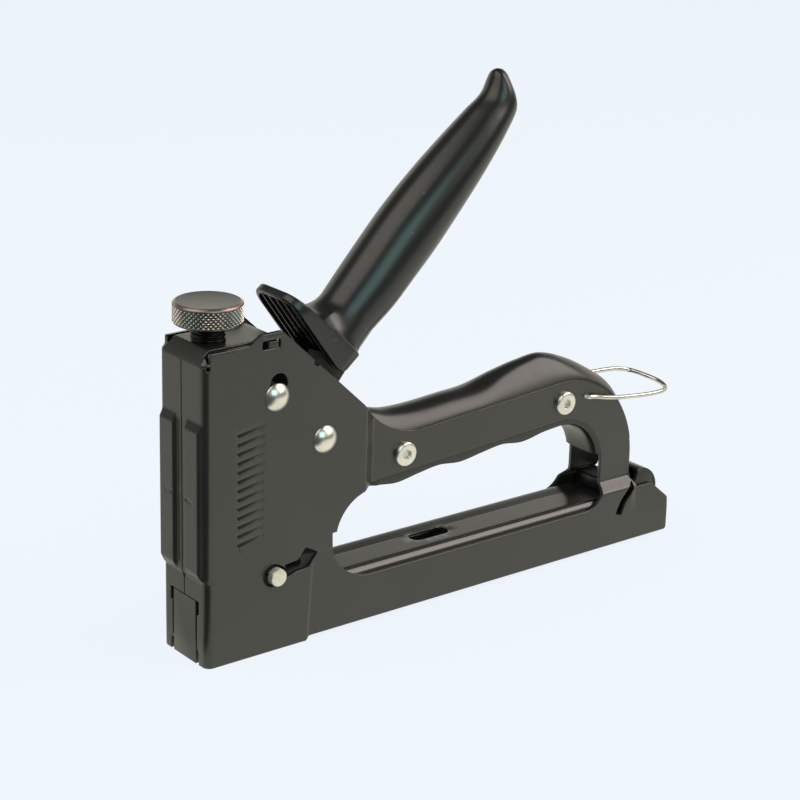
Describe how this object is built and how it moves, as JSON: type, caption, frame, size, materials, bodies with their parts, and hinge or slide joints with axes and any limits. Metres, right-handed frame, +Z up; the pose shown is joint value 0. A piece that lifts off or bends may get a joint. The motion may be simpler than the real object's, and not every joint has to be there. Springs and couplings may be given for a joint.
{
  "type": "staple tacker",
  "caption": "Hand staple tacker with squeeze lever, knurled power knob, steel shells, plastic grip, wire bail and pull-out staple magazine",
  "frame": {"origin": "centre of the staple exit, on the plane of the nose foot", "axes": "+X from the nose to the rear of the magazine, +Z up from the work surface to the knob, +Y to the far side"},
  "size_m": [0.181, 0.0278, 0.157],
  "materials": {
    "black_paint": "satin black paint on pressed sheet steel",
    "black_plastic": "glossy black moulded plastic",
    "bright_nickel": "bright nickel plate",
    "plain_steel": "bare steel",
    "spring_steel": "oiled spring steel",
    "gunmetal": "blackened knurled steel",
    "black_rubber": "matt black rubber"
  },
  "bodies": {
    "frame": {"left_shell": "black_paint", "right_shell": "black_paint", "nose_plate": "black_paint", "top_bridge": "black_paint", "stop_rivet": "bright_nickel", "pivot_rivet": "bright_nickel", "stop_sleeve": "plain_steel", "pivot_sleeve": "plain_steel", "grip_insert": "black_plastic", "grip_screws": "bright_nickel", "grip_nuts": "bright_nickel", "bumper": "black_rubber", "magazine_liner": "plain_steel"},
    "lever": {"lever_handle": "black_plastic", "left_lever_plate": "plain_steel", "right_lever_plate": "plain_steel", "lever_spacers": "plain_steel", "lift_pin": "plain_steel", "return_spring": "spring_steel"},
    "striker": {"hammer": "plain_steel", "driver_blade": "plain_steel", "main_spring": "spring_steel"},
    "seat": {"spring_seat": "plain_steel"},
    "knob": {"power_knob": "gunmetal"},
    "pin": {"lock_pin": "bright_nickel"},
    "bail": {"wire_bail": "bright_nickel"},
    "magazine_core": {"staple_rail": "plain_steel", "pusher_rod": "plain_steel", "pusher_spring": "spring_steel", "magazine_tail": "black_plastic", "latch_pin": "plain_steel"},
    "feeder": {"pusher": "plain_steel"},
    "latch": {"magazine_latch": "black_paint"}
  },
  "joints": [
    {"name": "lever_hinge", "type": "hinge", "parent": "frame", "child": "lever", "pos_m": [0.0378, 0, 0.0605], "axis": [0, 1, 0], "range_deg": [0, 41.5], "stiffness_Nm_per_rad": 0.25, "springref_deg": -45.84, "deforming": ["return_spring"]},
    {"name": "hammer_slide", "type": "slide", "parent": "frame", "child": "striker", "axis": [0, 0, 1], "range_m": [0, 0.01543], "deforming": ["main_spring"]},
    {"name": "seat_slide", "type": "slide", "parent": "frame", "child": "seat", "axis": [0, 0, 1], "range_m": [-0.00375, 0.00125]},
    {"name": "knob_turn", "type": "hinge", "parent": "seat", "child": "knob", "pos_m": [0.0062, 0, 0.1], "axis": [0, 0, 1], "range_deg": [-1080, 360]},
    {"name": "bail_hinge", "type": "hinge", "parent": "frame", "child": "bail", "pos_m": [0.1408, 0, 0.05275], "axis": [0, 1, 0], "range_deg": [-95, 30]},
    {"name": "lock_slide", "type": "slide", "parent": "frame", "child": "pin", "axis": [0.9903, 0, 0.1392], "range_m": [0, 0.009]},
    {"name": "magazine_slide", "type": "slide", "parent": "frame", "child": "magazine_core", "axis": [1, 0, 0], "range_m": [0, 0.11]},
    {"name": "pusher_slide", "type": "slide", "parent": "magazine_core", "child": "feeder", "axis": [1, 0, 0], "range_m": [0, 0.1], "stiffness_N_per_m": 40, "springref_m": -0.05, "deforming": ["pusher_spring"]},
    {"name": "latch_hinge", "type": "hinge", "parent": "magazine_core", "child": "latch", "pos_m": [0.1702, 0, 0.006], "axis": [0, 1, 0], "range_deg": [0, 35]}
  ],
  "couplings": [
    {"joint": "hammer_slide", "follows": "lever_hinge", "m_per_rad": 0.021033},
    {"joint": "knob_turn", "follows": "seat_slide", "rad_per_m": 5026.5}
  ]
}
